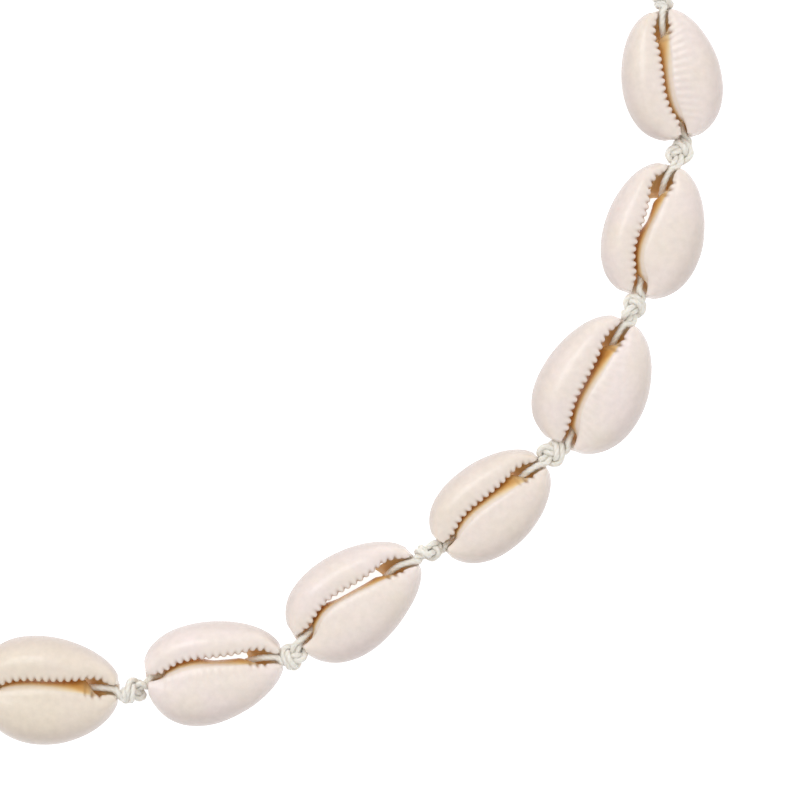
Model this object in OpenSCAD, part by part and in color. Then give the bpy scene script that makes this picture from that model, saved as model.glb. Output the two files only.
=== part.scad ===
// Necklace of cowrie shells with cut backs, threaded mouth upwards on a doubled waxed cord with
// a knot between neighbours. It lies flat, the cut backs on the surface z = 0, the back of the
// neck towards +Y. All sizes are in millimetres.

/* [Loop] */
// Radius of the circle that the middles of the shells lie on
loop_r = 79; // [76:0.5:82]
// Distance between the ends of neighbouring shells where the loop is even
shell_gap = 3.2; // [3:0.1:3.6]

/* [Shells] */
// Height left under the mouth after the back is cut off, as a share of the shell's width
cut_share = 0.45; // [0.43:0.01:0.48]
// Shell wall thickness at the margin
wall = 1.3; // [1.1:0.1:1.5]
// Height of the channel's floor at the narrow end and where the cord shows at the blunt end
high_floor = 2.3; // [2.1:0.1:2.4]
// Height of the channel's floor where the cord is hidden at the blunt end
low_floor = 0.8; // [0.7:0.1:1]
// How far each tooth of the outer lip stands into the mouth
tooth = 0.24; // [0.1:0.02:0.3]

/* [Cord] */
// Diameter of one strand of the doubled cord
strand_d = 0.75; // [0.65:0.05:0.75]
// Radius of a knot across the cord
knot_r = 1.5; // [1.3:0.05:1.6]

/* [Clasp] */
// Length of the barrel clasp
clasp_length = 12; // [10:0.5:14]
// Diameter of the barrel clasp
clasp_d = 4; // [3.5:0.1:4.5]

/* [Hidden] */
SHELLS = 21;
FIRST_SEEN = 5;
LAST_SEEN = 11;
function two_digits(n) = n < 10 ? str("0", n) : str(n);
function shell_name(n) = str("shell_", two_digits(n));

// Columns of SHAPES. The outer lip is the toothed side, the inner lip the smooth wide lobe.
LENGTH = 0;
OUTER = 1;      // half width on the outer lip's side
INNER = 2;      // half width on the inner lip's side
OUTER_EGG = 3;  // how much the outer side narrows towards the front
INNER_EGG = 4;
BOW = 5;        // how far the mouth bows towards the outer lip
FRONT_GAPE = 6; // width of the mouth where it is widest
MID_GAPE = 7;
FRONT_END = 8;  // widths of the channels at the two ends
BACK_END = 9;
BACK_FLOOR = 10; // height of the floor of the channel at the blunt end
REACH = 11;     // share of the mouth that the inner lip's curl covers where it is narrow
NARROW = 12;    // where, towards the back, the curl starts to be narrow
SHAPES = [
    // length, half widths, eggs, bow, gapes of front and middle, ends, back floor, curl
    [17.3, 6.8, 6.2, 0.11, 0.13, 1.0, 2.10, 1.40, 1.35, 1.15, low_floor, 1.05, 0],
    [17.9, 6.6, 6.5, 0.10, 0.13, 1.5, 2.60, 1.40, 1.30, 1.70, high_floor, 0.60, 0],
    [18.6, 7.2, 7.0, 0.17, 0.11, 1.0, 2.25, 1.40, 1.50, 1.55, high_floor, 1.05, 0],
    [17.5, 6.0, 6.0, 0.13, 0.10, 1.0, 2.25, 1.30, 1.45, 1.15, low_floor, 1.05, 0],
    [19.1, 6.8, 6.3, 0.13, 0.21, 1.7, 2.30, 1.30, 1.40, 1.40, high_floor, 0.50, -0.3],
    [18.4, 6.1, 7.1, 0.09, 0.23, 1.1, 2.15, 1.30, 1.30, 1.15, low_floor, 0.60, -0.1],
    [18.2, 6.7, 7.3, 0.19, 0.10, 0.7, 2.40, 1.30, 1.25, 1.15, low_floor, 1.05, 0],
];

// Columns of SEEN, the places of shells 5 to 11
ANGLE = 0; // round the loop
OUT = 1;   // outside the loop's circle
TURN = 2;  // from the loop's tangent
SEEN = [
    [0.9, 0.8, 9.0],
    [-13.9, 0.8, -1.3],
    [-29.3, 1.0, 3.3],
    [-44.3, -0.4, -5.3],
    [-60.2, -1.4, 5.0],
    [-75.3, -0.3, -6.2],
    [-91.0, -0.2, 0.0],
];
// How far knots 5 to 10 lie outside the straight line between their shells
KNOT_OUT = [0.2, 0.2, -0.3, -0.2, 0.3, 0.5];

// A shell's mesh: WALL_STATIONS sections along each lip and one at each side of both channels
WALL_STATIONS = 10;
STATIONS = 2 * (WALL_STATIONS + 2);
BITES = 3;              // points of the toothed edge for each section
FIRST_ANGLE = 15;       // where the outline leaves the channel
MOUTH_REACH = 0.93;     // the mouth's end, as a share of half the length
MARGIN_LEVEL = 0.42;    // height of the widest outline, as a share of the shell's height
END_DROP = 0.2;         // how much lower the two ends are than the middle
RIM = [0.93, 0.95];     // width and length of the cut rim, as shares of the widest outline
SHOULDER = [0.17, 0.8]; // share of the way from the margin to the mouth, share of the height
CREST = 0.6;            // share of that way where the wall is highest
LIP_DROP = 0.45;        // from the crest down to the edge of the lip
LIP_DEPTH = 1.6;        // from the crest down to the underside of the lip
UNDERCUT = 0.2;         // how far that underside draws back from the edge
CURL_LEVEL = 3.6;       // height of the foot of the inner lip's curl
INSIDE_LEVEL = 0.58;    // where the inside is widest, as a share of the height
HOLE_SHARE = 0.62;      // length of the cut opening, as a share of the length
HOLE_LEDGE = 0.05;      // how much narrower it is than the inside, as a share of half the width
OUTER_BLUNT = 0.8;      // under 1 makes the ends blunter than an ellipse's
INNER_BLUNT = 0.95;

function mix(a, b, f) = a * (1 - f) + b * f;
function shape(n) = SHAPES[seen(n) ? n - FIRST_SEEN : (3 * n + 1) % len(SHAPES)];
function seen(n) = n >= FIRST_SEEN && n <= LAST_SEEN;
function shell_length(n) = shape(n)[LENGTH];
function step_angle(n) =
    ((shell_length(n) + shell_length(n + 1)) / 2 + shell_gap) / loop_r * 180 / PI;
function loop_angle(n) =
    seen(n) ? SEEN[n - FIRST_SEEN][ANGLE]
    : n < FIRST_SEEN ? loop_angle(n + 1) + step_angle(n)
    : loop_angle(n - 1) - step_angle(n - 1);
function loop_out(n) = seen(n) ? SEEN[n - FIRST_SEEN][OUT] : 0;
function heading(n) = loop_angle(n) + 90 + (seen(n) ? SEEN[n - FIRST_SEEN][TURN] : 0);
function on_loop(angle, out) = (loop_r + out) * [cos(angle), sin(angle)];

// A shell's own frame: +Y to its narrow front end, +X to the inner lip, the middle at 0
function ahead(h) = [cos(h), sin(h)];
function aside(h) = [sin(h), -cos(h)];
function shell_to_loop(n, p) =
    on_loop(loop_angle(n), loop_out(n)) + p[0] * aside(heading(n)) + p[1] * ahead(heading(n));

// The mouth: its middle line and its width at t, from -1 at the blunt end to 1 at the front
BOW_CURVE = [[-1, 0], [-0.93, 0], [-0.75, 0.1], [-0.6, 0.48], [-0.45, 0.84], [-0.25, 1],
             [0, 0.9], [0.3, 0.72], [0.5, 0.68], [0.75, 0.45], [0.93, 0.05], [1, 0]];
function mouth_mid(s, t) = -s[BOW] * lookup(t, BOW_CURVE);
function mouth_gape(s, t) = lookup(t, [
    [-0.72, s[BACK_END]], [-0.5, 0.95 * s[MID_GAPE]], [0, s[MID_GAPE]],
    [0.45, 0.88 * s[FRONT_GAPE]], [0.6, s[FRONT_GAPE]], [0.74, 0.88 * s[FRONT_GAPE]],
    [0.87, s[FRONT_END]],
]);
function curl_reach(s, t) = lookup(t, [
    [-0.8, 0], [-0.6, 1.05], [s[NARROW] - 0.1, 1], [s[NARROW], s[REACH]], [0.4, s[REACH]],
    [0.52, 0.9], [0.7, 0],
]);
function tooth_depth(side, t) =
    tooth * (side < 0 ? 1 : 0.5) * lookup(abs(t), [[0.7, 1], [MOUTH_REACH, 0]]);

function shell_height(s) = cut_share * (s[OUTER] + s[INNER]);
function crest(s, t) = shell_height(s) * (1 - END_DROP * t * t);
function half_width(s, side) = side > 0 ? s[INNER] : s[OUTER];
function outline(s, side, u) =
    let (a = mix(FIRST_ANGLE, 180 - FIRST_ANGLE, u),
         egg = side > 0 ? s[INNER_EGG] : s[OUTER_EGG],
         blunt = side > 0 ? INNER_BLUNT : OUTER_BLUNT)
    [side * half_width(s, side) * pow(sin(a), blunt) * (1 - egg * cos(a)), s[LENGTH] / 2 * cos(a)];

// The edge of one lip at u, from 0 at the front to 1 at the back. bite is -1, 0 or 1.
function lip_point(s, side, u, bite) =
    let (t = MOUTH_REACH * (1 - 2 * u))
    [mouth_mid(s, t) + side * (mouth_gape(s, t) / 2 + bite * tooth_depth(side, t)),
     s[LENGTH] / 2 * t, crest(s, t) - LIP_DROP];

// One section through a lip, from the outside of the base over the crest to its inside
function wall_row(s, side, u, row) =
    let (t = MOUTH_REACH * (1 - 2 * u),
         o = outline(s, side, u),
         p = lip_point(s, side, u, 0),
         edge = [p[0], p[1]],
         top = crest(s, t),
         thin = 1 - wall / half_width(s, side),
         reach = side > 0 ? curl_reach(s, t) : 0)
    row == 0 ? [RIM[0] * o[0], RIM[1] * o[1], 0]
    : row == 1 ? [o[0], o[1], MARGIN_LEVEL * shell_height(s)]
    : row == 2 ? concat(mix(o, edge, SHOULDER[0]), SHOULDER[1] * top)
    : row == 3 ? concat(mix(o, edge, CREST), top)
    : row == 4 ? p
    : row == 5 ? [edge[0] - side * (reach * mouth_gape(s, t) - UNDERCUT * (1 - reach)), edge[1],
                  mix(top - LIP_DEPTH, CURL_LEVEL, min(1, reach))]
    : row == 6 ? [thin * o[0], (1 - 2 * wall / s[LENGTH]) * o[1], INSIDE_LEVEL * top]
    : [(thin - HOLE_LEDGE) * o[0], HOLE_SHARE * o[1], 0];

// The same rows at a channel's side, where the wall is only the channel's low floor:
// [share of half the length, share of the floor's height]. end is 1 at the front, -1 at the back.
FLOOR_ROWS = [[0.955, 0], [0.985, 0.5], [0.98, 0.85], [0.96, 1], [0.89, 1], [0.865, 0.75],
              [0.83, 0.5], [0.6, 0]];
function channel_row(s, side, end, row) =
    [side * (end > 0 ? s[FRONT_END] : s[BACK_END]) / 2,
     end * FLOOR_ROWS[row][0] * s[LENGTH] / 2,
     FLOOR_ROWS[row][1] * (end > 0 ? high_floor : s[BACK_FLOOR])];

// Stations run down the inner lip from the front and back up the outer lip: [side, u, end]
function station(k) =
    let (side = k < STATIONS / 2 ? 1 : -1,
         i = side > 0 ? k : STATIONS - 1 - k)
    i == 0 ? [side, 0, 1]
    : i == WALL_STATIONS + 1 ? [side, 1, -1]
    : [side, (i - 1) / (WALL_STATIONS - 1), 0];
function row_point(s, k, row) =
    let (st = station(k % STATIONS))
    st[2] == 0 ? wall_row(s, st[0], st[1], row) : channel_row(s, st[0], st[2], row);
function bite_point(s, j) =
    let (k = floor(j / BITES), f = (j % BITES) / BITES,
         a = station(k), b = station((k + 1) % STATIONS))
    a[2] == 0 && b[2] == 0 ? lip_point(s, a[0], mix(a[1], b[1], f), j % 2 == 0 ? 1 : -1)
    : mix(row_point(s, k, 4), row_point(s, k + 1, 4), f);

COARSE_ABOVE = 4; // rows before the toothed edge
COARSE_BELOW = 3; // rows after it
LIP_START = COARSE_ABOVE * STATIONS;
BELOW_START = LIP_START + BITES * STATIONS;
function coarse(row, k) =
    (row < COARSE_ABOVE ? row * STATIONS : BELOW_START + (row - COARSE_ABOVE - 1) * STATIONS)
    + k % STATIONS;
function bitten(j) = LIP_START + j % (BITES * STATIONS);
function band(from, to) = [for (k = [0:STATIONS - 1])
    each [[coarse(from, k), coarse(from, k + 1), coarse(to, k + 1)],
          [coarse(from, k), coarse(to, k + 1), coarse(to, k)]]];
function edge_band(row, above) = [for (k = [0:STATIONS - 1])
    let (a = coarse(row, k), b = coarse(row, k + 1), j = BITES * k,
         fan = [[a, bitten(j + 1), bitten(j)], [a, b, bitten(j + 1)],
                [b, bitten(j + 2), bitten(j + 1)], [b, bitten(j + 3), bitten(j + 2)]])
    each above ? fan : [for (f = fan) [f[0], f[2], f[1]]]];
SHELL_FACES = concat(band(0, 1), band(1, 2), band(2, 3), edge_band(3, true),
                     edge_band(5, false), band(5, 6), band(6, 7), band(7, 0));
function shell_points(s) = concat(
    [for (row = [0:COARSE_ABOVE - 1], k = [0:STATIONS - 1]) row_point(s, k, row)],
    [for (j = [0:BITES * STATIONS - 1]) bite_point(s, j)],
    [for (row = [COARSE_ABOVE + 1:COARSE_ABOVE + COARSE_BELOW], k = [0:STATIONS - 1])
        row_point(s, k, row)]);

// The origin is the middle of the box round the loop, so the loop's circle is shifted to it
ENDS_ANGLE = loop_angle(SHELLS) + 360;
CLASP_ANGLE = (loop_angle(1) + ENDS_ANGLE) / 2;
REACHES = [for (n = [1:SHELLS], k = [0:STATIONS - 1]) shell_to_loop(n, row_point(shape(n), k, 1))];
XS = [for (p = REACHES) p[0]];
YS = concat([for (p = REACHES) p[1]], [on_loop(CLASP_ANGLE, clasp_d / 2)[1]]);
SHIFT = -[(min(XS) + max(XS)) / 2, (min(YS) + max(YS)) / 2];

module shell(n) {
    color(n % 3 == 0 ? "seashell" : n % 3 == 1 ? "linen" : "mistyrose")
        translate(concat(SHIFT + on_loop(loop_angle(n), loop_out(n)), 0))
            rotate(heading(n) - 90)
                polyhedron(shell_points(shape(n)), SHELL_FACES);
}

// The cord is one solid: a section of two round strands carried along rings of
// [place, direction, half width, half height, turn]
LOBE = [-130, -65, 0, 65, 130];
SECTION = concat([for (a = LOBE) [0.5 + 0.5 * cos(a), sin(a)]],
                 [for (a = LOBE) [-0.5 - 0.5 * cos(a), -sin(a)]]);
SIDES = len(SECTION);
STRAND_CLEAR = 0.2;  // air between the strands and a channel's floor
LOW_CORD = 1.2;      // height of the strands' middle under the mouth
ON_EDGE = 90;        // turn of the cord in a shell, where one strand lies over the other
KNOT_SPREAD = 0.25;  // from a knot's middle to its shoulders, as a share of the gap it fills
KNOT_SHOULDER = 0.8; // radius there, as a share of the knot's
KNOT_SQUASH = 0.95;  // height of a knot, as a share of its width
END_KNOT = 3.2;      // length of the knots at both ends of the row of shells
BORE_D = 1.95;       // the clasp's sockets for the cord
BORE_DEPTH = 2.5;
SOCKET_GAP = 0.5;    // left between the cord's end and the bottom of its socket
SOCKET_EXIT = 0.3;   // how far the cord runs straight out of its socket
FLOOR_CORD = 0.5 * strand_d + 0.05; // height of the strands' middle where they lie on the surface

function cord_level(floor_z) = floor_z + STRAND_CLEAR + strand_d;
function strand_ring(place, direction, turn) = [place, direction, strand_d, strand_d / 2, turn];

// Route through a shell: [t, share of the mouth's bow, share of the rise to the channel]
ROUTE = [[1.02, 0, 1], [0.93, 0.7, 1], [0.76, 0.95, 1], [0.55, 0.7, 0.45], [0.25, 0.3, 0],
         [-0.25, 0.3, 0], [-0.55, 0.7, 0.35], [-0.76, 1, 0.7], [-0.9, 1, 1], [-1.02, 0, 1]];
function shell_rings(n) = [for (r = ROUTE)
    let (s = shape(n), t = r[0], floor_z = t > 0 ? high_floor : s[BACK_FLOOR],
         p = shell_to_loop(n, [r[1] * mouth_mid(s, t), t * s[LENGTH] / 2]))
    strand_ring(concat(p, mix(LOW_CORD, cord_level(floor_z), r[2])), heading(n) + 180,
                ON_EDGE)];

function knot_rings(from, to, out) =
    let (way = to[0] - from[0], direction = atan2(way[1], way[0]),
         outwards = out * [from[0][0], from[0][1], 0] / loop_r)
    [for (f = [-1, 0, 1])
        let (r = knot_r * (f == 0 ? 1 : KNOT_SHOULDER))
        [mix(from[0], to[0], 0.5 + f * KNOT_SPREAD) + outwards * (1 - abs(f) / 2), direction,
         r, KNOT_SQUASH * r, mix(from[4], to[4], (f + 1) / 2)]];

function knot_out(n) =
    n >= FIRST_SEEN && n < LAST_SEEN ? KNOT_OUT[n - FIRST_SEEN] : 0;
function shell_run(n) = concat(shell_rings(n),
    n < SHELLS ? knot_rings(shell_neck(n, -1), shell_neck(n + 1, 1), knot_out(n)) : []);
function shell_neck(n, end) = shell_rings(n)[end > 0 ? 0 : len(ROUTE) - 1];

// Bare cord between the clasp and an end knot: [share of the way, height] from the clasp
CLASP_LEVEL = clasp_d / 2;
BARE = [[0.15, 1.3], [0.35, FLOOR_CORD], [0.65, FLOOR_CORD], [0.85, 1.1], [1, 2.1]];
function end_knot_angle(side) =
    let (n = side > 0 ? 1 : SHELLS)
    loop_angle(n) + side * (shell_length(n) / 2 + END_KNOT) / loop_r * 180 / PI
    + (side > 0 ? 0 : 360);
function clasp_ring(side, along) =
    strand_ring(concat(on_loop(CLASP_ANGLE, 0) + side * along * aside(CLASP_ANGLE), CLASP_LEVEL),
                CLASP_ANGLE - 90, 0);
function bare_rings(side) =
    let (from = CLASP_ANGLE - side * clasp_length / 2 / loop_r * 180 / PI,
         to = end_knot_angle(side))
    concat([clasp_ring(side, clasp_length / 2 - BORE_DEPTH + SOCKET_GAP),
            clasp_ring(side, clasp_length / 2 + SOCKET_EXIT)],
           [for (b = BARE) let (a = mix(from, to, b[0]))
               strand_ring(concat(on_loop(a, 0), b[1]), a - 90, 0)]);
function backwards(list) = [for (i = [len(list) - 1:-1:0]) list[i]];
function last(list) = list[len(list) - 1];

FIRST_BARE = bare_rings(1);
LAST_BARE = backwards(bare_rings(-1));
CORD_RINGS = concat(
    FIRST_BARE, knot_rings(last(FIRST_BARE), shell_neck(1, 1), 0),
    [for (n = [1:SHELLS]) each shell_run(n)],
    knot_rings(shell_neck(SHELLS, -1), LAST_BARE[0], 0), LAST_BARE);

function ring_points(r) = [for (p = SECTION)
    let (x = r[2] * p[0] * cos(r[4]) - r[3] * p[1] * sin(r[4]),
         z = r[2] * p[0] * sin(r[4]) + r[3] * p[1] * cos(r[4]),
         side = aside(r[1]))
    [r[0][0] + x * side[0] + SHIFT[0], r[0][1] + x * side[1] + SHIFT[1], r[0][2] + z]];

module cord() {
    rings = len(CORD_RINGS);
    color("ivory")
        polyhedron(
            [for (r = CORD_RINGS) each ring_points(r)],
            concat(
                [[for (i = [SIDES - 1:-1:0]) i]],
                [for (k = [0:rings - 2], i = [0:SIDES - 1])
                    let (a = k * SIDES + i, b = k * SIDES + (i + 1) % SIDES)
                    each [[a, b, b + SIDES], [a, b + SIDES, a + SIDES]]],
                [[for (i = [0:SIDES - 1]) (rings - 1) * SIDES + i]]));
}

module clasp() {
    half = clasp_length / 2;
    r = clasp_d / 2;
    collar = 0.35;      // step down to the collar at each end
    collar_length = 1.6;
    chamfer = 0.5;
    slope = 0.4;        // length of the step
    groove = 0.25;      // half width and depth of the groove between the two halves
    color("gold")
        translate(concat(SHIFT + on_loop(CLASP_ANGLE, 0), r))
            rotate([0, 0, CLASP_ANGLE + 90])
                rotate([0, 90, 0])
                    difference() {
                        rotate_extrude($fn = 64)
                            polygon([
                                for (end = [-1, 1])
                                    let (profile = [
                                        [0, half], [r - collar - chamfer / 2, half],
                                        [r - collar, half - chamfer],
                                        [r - collar, half - collar_length],
                                        [r, half - collar_length - slope], [r, groove]])
                                    each end < 0 ? [for (p = profile) [p[0], -p[1]]]
                                        : concat([[r - groove, 0]], backwards(profile)),
                            ]);
                        for (side = [-1, 1])
                            translate([0, 0, side * half])
                                cylinder(h = 2 * BORE_DEPTH, d = BORE_D, center = true, $fn = 48);
                    }
}

for (n = [1:SHELLS])
    shell(n);
cord();
clasp();
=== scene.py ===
"""Looks of the cowrie shell necklace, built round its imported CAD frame.

Twenty-one cowries with cut backs lie mouth upwards on a doubled, waxed cord that is knotted
between neighbours. The CAD solids say where everything is. Here each shell becomes a smooth,
glazed one with its toothed lips, and the cord becomes two twisted strands with tied knots.
Sizes are in millimetres until a mesh is made, and meshes are in metres.
"""

import logging
import math
from dataclasses import dataclass
from enum import Enum
from typing import Sequence

import bpy
import numpy as np
from mathutils import Euler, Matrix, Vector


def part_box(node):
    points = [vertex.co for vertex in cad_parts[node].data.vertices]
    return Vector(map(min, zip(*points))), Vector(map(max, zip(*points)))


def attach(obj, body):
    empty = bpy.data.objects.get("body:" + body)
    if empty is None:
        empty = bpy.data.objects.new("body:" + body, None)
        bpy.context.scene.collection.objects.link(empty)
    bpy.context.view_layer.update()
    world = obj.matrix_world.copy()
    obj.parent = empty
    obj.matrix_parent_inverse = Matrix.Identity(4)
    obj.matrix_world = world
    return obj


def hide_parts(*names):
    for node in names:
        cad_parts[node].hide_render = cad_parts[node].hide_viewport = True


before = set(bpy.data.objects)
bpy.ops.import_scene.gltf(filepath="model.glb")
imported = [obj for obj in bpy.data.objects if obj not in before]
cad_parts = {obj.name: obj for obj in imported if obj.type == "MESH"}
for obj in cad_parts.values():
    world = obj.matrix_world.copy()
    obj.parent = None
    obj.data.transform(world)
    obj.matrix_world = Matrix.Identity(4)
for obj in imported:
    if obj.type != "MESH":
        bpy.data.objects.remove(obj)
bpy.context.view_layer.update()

LOG = logging.getLogger("necklace")
MM = 0.001  # metres in a millimetre
BODY = "root"
LEAST_STEP = 0.05  # between two rows of a shell, even where they meet
TINY = 1e-9  # keeps a length that is divided by from being nothing
Number = float | np.ndarray


# Small tools

def mix(a: Number, b: Number, f: Number) -> Number:
    """Returns the value a share f of the way from a to b."""
    return a * (1 - f) + b * f


def between(f: Number, step: Number, a: Number, b: Number, slope_a: Number,
            slope_b: Number) -> Number:
    """Returns the point a share f along the smooth curve from a to b, which lie a step apart."""
    return ((1 + 2 * f) * (1 - f) ** 2 * a + f * (1 - f) ** 2 * step * slope_a
            + f * f * (3 - 2 * f) * b + f * f * (f - 1) * step * slope_b)


def slopes(points: np.ndarray, step: np.ndarray) -> np.ndarray:
    """Works out how fast a smooth curve runs through points.

    Args:
        points: the points, along the first axis.
        step: the distance from each to the next.

    Returns:
        The curve's slope at each of them.
    """
    rate = np.diff(points, axis=0) / step
    inner = (rate[:-1] * step[1:] + rate[1:] * step[:-1]) / (step[:-1] + step[1:])
    return np.concatenate([rate[:1], inner, rate[-1:]])


def smooth_lookup(x: Number, table: Sequence[tuple[float, float]]) -> Number:
    """Reads a table of points as one smooth curve that never overshoots them.

    Args:
        x: where the curve is read; outside the table its end values hold.
        table: points (x, y) in order of x.

    Returns:
        The curve's values at x.
    """
    xs, ys = np.array(table, float).T
    rate = np.diff(ys) / np.diff(xs)
    slope = np.zeros(len(xs))
    turning = rate[:-1] * rate[1:] <= 0
    total = np.where(turning, 1, rate[:-1] + rate[1:])
    slope[1:-1] = np.where(turning, 0, 2 * rate[:-1] * rate[1:] / total)
    x = np.clip(x, xs[0], xs[-1])
    i = np.clip(np.searchsorted(xs, x, side="right") - 1, 0, len(xs) - 2)
    step = xs[i + 1] - xs[i]
    return between((x - xs[i]) / step, step, ys[i], ys[i + 1], slope[i], slope[i + 1])


def smooth_rows(rows: np.ndarray, pieces: Sequence[int]) -> np.ndarray:
    """Runs a smooth curve through the rows of every station.

    Args:
        rows: stations x rows x values, where the first three values are a point.
        pieces: how many pieces each interval between two rows is cut into.

    Returns:
        stations x finer rows x values, the first and the last row kept.
    """
    step = np.linalg.norm(np.diff(rows[:, :, :3], axis=1), axis=2).mean(axis=0)
    step = np.maximum(step, LEAST_STEP)
    rows = rows.swapaxes(0, 1)
    slope = slopes(rows, step[:, None, None])
    finer = [between(f, step[i], rows[i], rows[i + 1], slope[i], slope[i + 1])
             for i, count in enumerate(pieces) for f in np.arange(count) / count]
    return np.stack(finer + [rows[-1]], axis=1)


def smooth_line(points: np.ndarray, run: np.ndarray, at: np.ndarray) -> np.ndarray:
    """Reads a smooth curve through points.

    Args:
        points: the points it goes through.
        run: the distance along them to each.
        at: the distances at which it is read.

    Returns:
        The curve's points there.
    """
    step = np.diff(run)[:, None]
    slope = slopes(points, step)
    i = np.clip(np.searchsorted(run, at, side="right") - 1, 0, len(run) - 2)
    f = ((at - run[i]) / step[i, 0])[:, None]
    return between(f, step[i], points[i], points[i + 1], slope[i], slope[i + 1])


def distances(points: np.ndarray) -> np.ndarray:
    """Returns the distance along a line of points to each of them."""
    return np.concatenate([[0], np.cumsum(np.linalg.norm(np.diff(points, axis=0), axis=1))])


def direction(angle: float) -> np.ndarray:
    """Returns the direction x, y at an angle in degrees."""
    return np.array([math.cos(math.radians(angle)), math.sin(math.radians(angle))])


def right_of(way: np.ndarray) -> np.ndarray:
    """Returns the direction x, y to the right of another."""
    return np.array([way[1], -way[0]])


def srgb(code: str) -> tuple[float, float, float, float]:
    """Turns an sRGB hex value into the linear colour that Blender wants.

    Args:
        code: the colour, such as "#EFE4D8".

    Returns:
        Its red, green and blue, and an alpha of 1.
    """
    parts = [int(code[i:i + 2], 16) / 255 for i in (1, 3, 5)]
    linear = [p / 12.92 if p <= 0.04045 else ((p + 0.055) / 1.055) ** 2.4 for p in parts]
    return (*linear, 1.0)


def add_node(tree: bpy.types.NodeTree, kind: str, inputs: dict | None = None,
             **settings: object) -> bpy.types.Node:
    """Adds a node with its settings, values and links.

    Args:
        tree: the node tree that gets it.
        kind: Blender's name for the kind of node.
        inputs: for each input, by name or number, a value or the socket that feeds it.
        settings: the node's own properties.

    Returns:
        The new node.
    """
    node = tree.nodes.new(kind)
    for key, value in settings.items():
        setattr(node, key, value)
    for key, value in (inputs or {}).items():
        if isinstance(value, bpy.types.NodeSocket):
            tree.links.new(value, node.inputs[key])
        else:
            node.inputs[key].default_value = value
    return node


def mesh_object(name: str, points: np.ndarray, edges: Sequence = (), faces: Sequence = (),
                values: dict[str, np.ndarray] | None = None) -> bpy.types.Object:
    """Makes a mesh and puts it in the scene at the origin.

    Args:
        name: the piece's name.
        points: its points, in millimetres.
        edges: its loose edges, as numbers of points.
        faces: its faces, as numbers of points.
        values: what each point carries, by the attribute's name.

    Returns:
        The piece.
    """
    mesh = bpy.data.meshes.new(name)
    mesh.from_pydata((points * MM).tolist(), edges, faces)
    mesh.validate()
    for key, numbers in (values or {}).items():
        attribute = mesh.attributes.new(key, "FLOAT", "POINT")
        attribute.data.foreach_set("value", np.clip(numbers, 0, None).astype(np.float32))
    piece = bpy.data.objects.new(name, mesh)
    bpy.context.scene.collection.objects.link(piece)
    return piece


class ModifierTree:
    """A Geometry Nodes tree with named inputs, and a table of the sums that it does."""

    NAME = ""
    MATERIAL = ""                  # the name of its material's input
    SIZES: tuple[str, ...] = ()    # the names of its other inputs
    SUMS: tuple[tuple, ...] = ()   # [result, operation, what goes in by name or value]

    def __init__(self) -> None:
        """Builds the tree."""
        self.tree = tree = bpy.data.node_groups.new(self.NAME, "GeometryNodeTree")
        tree.is_modifier = True
        kinds = {"Geometry": "NodeSocketGeometry", self.MATERIAL: "NodeSocketMaterial"}
        for name in ("Geometry", self.MATERIAL, *self.SIZES):
            tree.interface.new_socket(name, in_out="INPUT",
                                      socket_type=kinds.get(name, "NodeSocketFloat"))
        tree.interface.new_socket("Geometry", in_out="OUTPUT", socket_type=kinds["Geometry"])
        given = add_node(tree, "NodeGroupInput").outputs
        known = {socket.name: socket for socket in given if socket.name}
        made = self.form(known)
        for kind, inputs in (("GeometryNodeRealizeInstances", {}),
                             ("GeometryNodeSetShadeSmooth", {}),
                             ("GeometryNodeSetMaterial", {"Material": known[self.MATERIAL]})):
            made = add_node(tree, kind, {"Geometry": made, **inputs}).outputs[0]
        add_node(tree, "NodeGroupOutput", {"Geometry": made})

    def form(self, known: dict[str, bpy.types.NodeSocket]) -> bpy.types.NodeSocket:
        """Returns the shape that the tree makes, where its inputs are known."""
        raise NotImplementedError

    def work_out(self, known: dict[str, bpy.types.NodeSocket]) -> None:
        """Does the tree's sums.

        Args:
            known: values by name, which the results join.
        """
        for result, operation, *terms in self.SUMS:
            known[result] = add_node(
                self.tree, "ShaderNodeMath",
                {i: known.get(term, term) for i, term in enumerate(terms)},
                operation=operation).outputs[0]

    def apply(self, piece: bpy.types.Object, values: dict) -> None:
        """Runs the tree on a piece and keeps what it makes as the piece's own plain mesh.

        Args:
            piece: the piece.
            values: the tree's inputs by name, which are set by their sockets' identifiers.
        """
        modifier = piece.modifiers.new(self.NAME, "NODES")
        modifier.node_group = self.tree
        for item in self.tree.interface.items_tree:
            if item.in_out == "INPUT" and item.name in values:
                modifier[item.identifier] = values[item.name]
        bpy.context.view_layer.update()
        graph = bpy.context.evaluated_depsgraph_get()
        mesh = bpy.data.meshes.new_from_object(piece.evaluated_get(graph), depsgraph=graph)
        piece.modifiers.clear()
        piece.data = mesh
        mesh.name = piece.name


# The finishes

class Finish:
    """A finish: it names its material and builds the shader."""

    NAME = ""

    def shader(self, tree: bpy.types.NodeTree) -> bpy.types.Node:
        """Returns the shader, built in the material's tree."""
        raise NotImplementedError

    def material(self) -> bpy.types.Material:
        """Builds the material.

        Returns:
            The material, named for the real one.
        """
        material = bpy.data.materials.new(self.NAME)
        material.use_nodes = True
        tree = material.node_tree
        tree.nodes.clear()
        add_node(tree, "ShaderNodeOutputMaterial", {"Surface": self.shader(tree).outputs["BSDF"]})
        return material


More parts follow.
